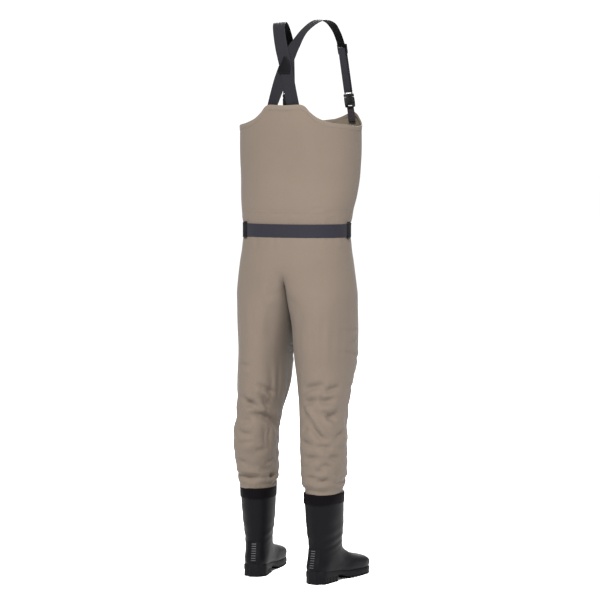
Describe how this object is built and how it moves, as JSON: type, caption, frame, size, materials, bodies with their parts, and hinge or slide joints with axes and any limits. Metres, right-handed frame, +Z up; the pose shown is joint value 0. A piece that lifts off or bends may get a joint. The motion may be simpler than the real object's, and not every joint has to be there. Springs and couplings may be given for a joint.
{
  "type": "chest waders",
  "caption": "Chest-high waders of smooth cloth with moulded boots, crossed elastic shoulder straps on side-release buckles, and a wading belt with a front buckle.",
  "frame": {"origin": "on the floor under the middle of the bounding box, between the boots", "axes": "+Z up, the wearer faces -Y, so the back is +Y and the wearer's left is +X"},
  "size_m": [0.3768, 0.3406, 1.6124],
  "materials": {
    "fabric": "smooth breathable cloth, matt",
    "seam": "stitched hem, matt",
    "elastic": "ribbed elastic webbing",
    "webbing": "flat woven webbing",
    "boot": "matt moulded PVC",
    "sole": "moulded rubber",
    "cuff": "matt cloth band",
    "foam": "foam with cloth top",
    "steel": "satin",
    "plastic": "moulded, low sheen"
  },
  "bodies": {
    "torso": {"back_bib": "fabric", "back_waist_panel": "fabric", "belt_buckle_female": "plastic", "belt_keeper": "plastic", "belt_tail": "webbing", "belt_webbing": "webbing", "chest_pocket": "fabric", "crossover_patch_inner": "plastic", "crossover_patch_outer": "plastic", "dring_tab": "webbing", "front_bib": "fabric", "front_waist_panel": "fabric", "left_belt_loop": "webbing", "left_knee_section": "fabric", "left_leg_back": "fabric", "left_leg_front": "fabric", "left_shoulder_strap": "elastic", "left_strap_buckle_female": "plastic", "left_strap_loop": "webbing", "left_strap_tab": "webbing", "pocket_zip": "webbing", "right_belt_loop": "webbing", "right_knee_section": "fabric", "right_leg_back": "fabric", "right_leg_front": "fabric", "right_shoulder_strap": "elastic", "right_strap_buckle_female": "plastic", "right_strap_loop": "webbing", "right_strap_tab": "webbing", "top_hem": "seam"},
    "left_lower_leg": {"left_shin_fabric": "fabric", "left_boot_upper": "boot", "left_cuff_band": "cuff", "left_heel_ribs": "boot", "left_outsole": "sole", "left_tread_lugs": "sole", "left_insole": "foam"},
    "right_lower_leg": {"right_shin_fabric": "fabric", "right_boot_upper": "boot", "right_cuff_band": "cuff", "right_heel_ribs": "boot", "right_outsole": "sole", "right_tread_lugs": "sole", "right_insole": "foam"},
    "left_strap_male": {"left_strap_buckle_male": "plastic"},
    "left_strap_prong_a": {"left_strap_buckle_prong_a": "plastic"},
    "left_strap_prong_b": {"left_strap_buckle_prong_b": "plastic"},
    "right_strap_male": {"right_strap_buckle_male": "plastic"},
    "right_strap_prong_a": {"right_strap_buckle_prong_a": "plastic"},
    "right_strap_prong_b": {"right_strap_buckle_prong_b": "plastic"},
    "belt_male": {"belt_buckle_male": "plastic", "belt_end": "webbing"},
    "belt_prong_a": {"belt_buckle_prong_a": "plastic"},
    "belt_prong_b": {"belt_buckle_prong_b": "plastic"},
    "left_slider": {"left_ladder_slider": "plastic"},
    "right_slider": {"right_ladder_slider": "plastic"},
    "zip": {"zip_slider": "plastic"},
    "puller": {"zip_puller": "plastic"},
    "ring": {"dring": "steel"}
  },
  "joints": [
    {"name": "left_knee_bend", "type": "hinge", "parent": "torso", "child": "left_lower_leg", "pos_m": [0.104, 0.03914, 0.5], "axis": [1, 0, 0], "range_deg": [0, 70], "deforming": ["left_knee_section"]},
    {"name": "right_knee_bend", "type": "hinge", "parent": "torso", "child": "right_lower_leg", "pos_m": [-0.1, 0.05914, 0.5], "axis": [1, 0, 0], "range_deg": [0, 70], "deforming": ["right_knee_section"]},
    {"name": "left_strap_release", "type": "slide", "parent": "torso", "child": "left_strap_male", "axis": [-0.0534, 0.178, 0.9826], "range_m": [0, 0.028], "deforming": ["left_strap_buckle_prong_a", "left_strap_buckle_prong_b", "left_strap_loop"]},
    {"name": "left_strap_prong_a_squeeze", "type": "hinge", "parent": "left_strap_male", "child": "left_strap_prong_a", "pos_m": [0.06486, -0.11836, 1.39206], "axis": [-0.3079, 0.9331, -0.1858], "range_deg": [-10, 0], "stiffness_Nm_per_rad": 0.4},
    {"name": "left_strap_prong_b_squeeze", "type": "hinge", "parent": "left_strap_male", "child": "left_strap_prong_b", "pos_m": [0.08614, -0.11136, 1.39194], "axis": [-0.3079, 0.9331, -0.1858], "range_deg": [0, 10], "stiffness_Nm_per_rad": 0.4},
    {"name": "right_strap_release", "type": "slide", "parent": "torso", "child": "right_strap_male", "axis": [0.1111, 0.0932, 0.9894], "range_m": [0, 0.028], "deforming": ["right_strap_buckle_prong_a", "right_strap_buckle_prong_b", "right_strap_loop"]},
    {"name": "right_strap_prong_a_squeeze", "type": "hinge", "parent": "right_strap_male", "child": "right_strap_prong_a", "pos_m": [-0.1288, -0.08864, 1.39246], "axis": [0.5455, 0.8265, -0.1391], "range_deg": [-10, 0], "stiffness_Nm_per_rad": 0.4},
    {"name": "right_strap_prong_b_squeeze", "type": "hinge", "parent": "right_strap_male", "child": "right_strap_prong_b", "pos_m": [-0.1102, -0.10108, 1.39154], "axis": [0.5455, 0.8265, -0.1391], "range_deg": [0, 10], "stiffness_Nm_per_rad": 0.4},
    {"name": "belt_release", "type": "slide", "parent": "torso", "child": "belt_male", "axis": [1, 0, 0], "range_m": [0, 0.028], "deforming": ["belt_buckle_prong_a", "belt_buckle_prong_b"]},
    {"name": "belt_prong_a_squeeze", "type": "hinge", "parent": "belt_male", "child": "belt_prong_a", "pos_m": [0, -0.10536, 1.0202], "axis": [0, 1, 0], "range_deg": [-10, 0], "stiffness_Nm_per_rad": 0.4},
    {"name": "belt_prong_b_squeeze", "type": "hinge", "parent": "belt_male", "child": "belt_prong_b", "pos_m": [0, -0.10536, 0.9978], "axis": [0, 1, 0], "range_deg": [0, 10], "stiffness_Nm_per_rad": 0.4},
    {"name": "left_strap_adjust", "type": "slide", "parent": "torso", "child": "left_slider", "axis": [-0.0534, 0.178, 0.9826], "range_m": [-0.045, 0], "deforming": ["left_strap_loop"]},
    {"name": "right_strap_adjust", "type": "slide", "parent": "torso", "child": "right_slider", "axis": [0.1111, 0.0932, 0.9894], "range_m": [-0.045, 0], "deforming": ["right_strap_loop"]},
    {"name": "pocket_zip_slide", "type": "slide", "parent": "torso", "child": "zip", "axis": [-1, 0, 0], "range_m": [0, 0.12]},
    {"name": "zip_puller_swing", "type": "hinge", "parent": "zip", "child": "puller", "pos_m": [0.06, -0.15916, 1.262], "axis": [1, 0, 0], "range_deg": [-100, 0]},
    {"name": "dring_swing", "type": "hinge", "parent": "torso", "child": "ring", "pos_m": [0.13276, -0.11449, 1.3], "axis": [0.9062, 0.4229, 0], "range_deg": [-90, 0]}
  ],
  "couplings": [
    {"joint": "left_strap_prong_b_squeeze", "follows": "left_strap_prong_a_squeeze", "ratio": -1},
    {"joint": "right_strap_prong_b_squeeze", "follows": "right_strap_prong_a_squeeze", "ratio": -1},
    {"joint": "belt_prong_b_squeeze", "follows": "belt_prong_a_squeeze", "ratio": -1}
  ]
}
